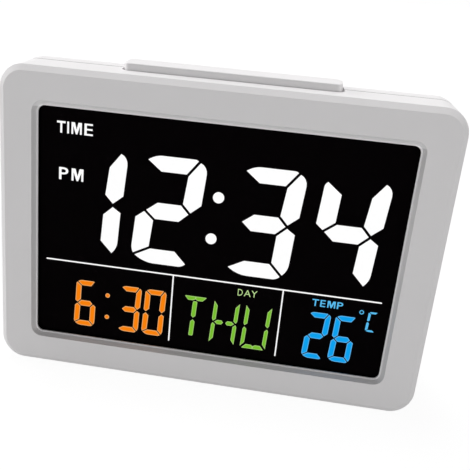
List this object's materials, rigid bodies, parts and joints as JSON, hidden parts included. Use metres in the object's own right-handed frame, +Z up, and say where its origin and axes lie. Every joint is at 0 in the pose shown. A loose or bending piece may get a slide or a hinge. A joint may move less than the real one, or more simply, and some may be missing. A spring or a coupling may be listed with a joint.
{
  "type": "desk alarm clock",
  "caption": "Landscape desk alarm clock: leaning face with a wide colour display, long snooze bar on the level top, keys, battery door and power inlet on the back.",
  "frame": {"origin": "middle of the footprint, on the surface that the feet rest on", "axes": "+X to the viewer's right across the face, +Y towards the back wall, +Z up"},
  "size_m": [0.165, 0.0456, 0.116],
  "materials": {
    "case_plastic": "fine satin moulded white plastic",
    "clear_pane": "clear polished acrylic",
    "display_glass": "black liquid-crystal glass",
    "clear_plastic": "clear moulded light guide",
    "white_plastic": "white moulded plastic",
    "black_foam": "thin black foam adhesive",
    "black_rubber": "layered conductive rubber",
    "grey_rubber": "matt grey rubber",
    "circuit_board": "green solder mask on laminate",
    "black_resin": "black moulded resin",
    "screw_steel": "zinc-plated steel",
    "spring_steel": "spring wire",
    "bright_metal": "nickel-plated metal",
    "cell_jacket": "printed film jacket, plain"
  },
  "bodies": {
    "case": {"front_bezel": "case_plastic", "display_lens": "clear_pane", "lens_adhesive": "black_foam", "lcd_panel": "display_glass", "backlight_plate": "clear_plastic", "reflector_sheet": "white_plastic", "led_strip": "circuit_board", "backlight_leds": "white_plastic", "display_holder": "white_plastic", "holder_screws": "screw_steel", "lcd_connector": "black_rubber", "main_board": "circuit_board", "board_screws": "screw_steel", "control_chip": "black_resin", "clock_crystal": "bright_metal", "board_capacitors": "black_resin", "snooze_springs": "spring_steel", "snooze_board": "circuit_board", "snooze_board_screws": "screw_steel", "snooze_switch": "black_resin", "key_mat": "grey_rubber", "key_board": "circuit_board", "key_board_screws": "screw_steel", "slide_switch": "bright_metal", "rear_cover": "case_plastic", "positive_contacts": "bright_metal", "sprung_contacts": "bright_metal", "power_socket": "black_resin", "socket_pin": "bright_metal", "alarm_buzzer": "black_resin", "temperature_sensor": "black_resin", "case_screws": "screw_steel", "rubber_feet": "grey_rubber", "battery_1": "cell_jacket", "battery_2": "cell_jacket", "battery_3": "cell_jacket"},
    "snooze": {"snooze_bar": "case_plastic", "snooze_plunger": "black_resin"},
    "door": {"battery_door": "case_plastic"},
    "alarm_slide": {"alarm_slide_knob": "case_plastic", "slide_switch_lever": "black_resin"},
    "mode_key": {"mode_key": "case_plastic"},
    "set_key": {"set_key": "case_plastic"},
    "up_key": {"up_key": "case_plastic"},
    "down_key": {"down_key": "case_plastic"},
    "alarm_key": {"alarm_key": "case_plastic"}
  },
  "joints": [
    {"name": "snooze_press", "type": "slide", "parent": "case", "child": "snooze", "axis": [0, 0, -1], "range_m": [0, 0.0012], "stiffness_N_per_m": 400, "springref_m": -0.004, "deforming": ["snooze_springs"]},
    {"name": "door_swing", "type": "hinge", "parent": "case", "child": "door", "pos_m": [0, 0.0224, 0.0081], "axis": [-1, 0, 0], "range_deg": [0, 85]},
    {"name": "alarm_slide_travel", "type": "slide", "parent": "case", "child": "alarm_slide", "axis": [1, 0, 0], "range_m": [0, 0.003]},
    {"name": "mode_press", "type": "slide", "parent": "case", "child": "mode_key", "axis": [0, -1, 0], "range_m": [0, 0.001], "stiffness_N_per_m": 600, "springref_m": -0.001},
    {"name": "set_press", "type": "slide", "parent": "case", "child": "set_key", "axis": [0, -1, 0], "range_m": [0, 0.001], "stiffness_N_per_m": 600, "springref_m": -0.001},
    {"name": "up_press", "type": "slide", "parent": "case", "child": "up_key", "axis": [0, -1, 0], "range_m": [0, 0.001], "stiffness_N_per_m": 600, "springref_m": -0.001},
    {"name": "down_press", "type": "slide", "parent": "case", "child": "down_key", "axis": [0, -1, 0], "range_m": [0, 0.001], "stiffness_N_per_m": 600, "springref_m": -0.001},
    {"name": "alarm_press", "type": "slide", "parent": "case", "child": "alarm_key", "axis": [0, -1, 0], "range_m": [0, 0.001], "stiffness_N_per_m": 600, "springref_m": -0.001}
  ]
}
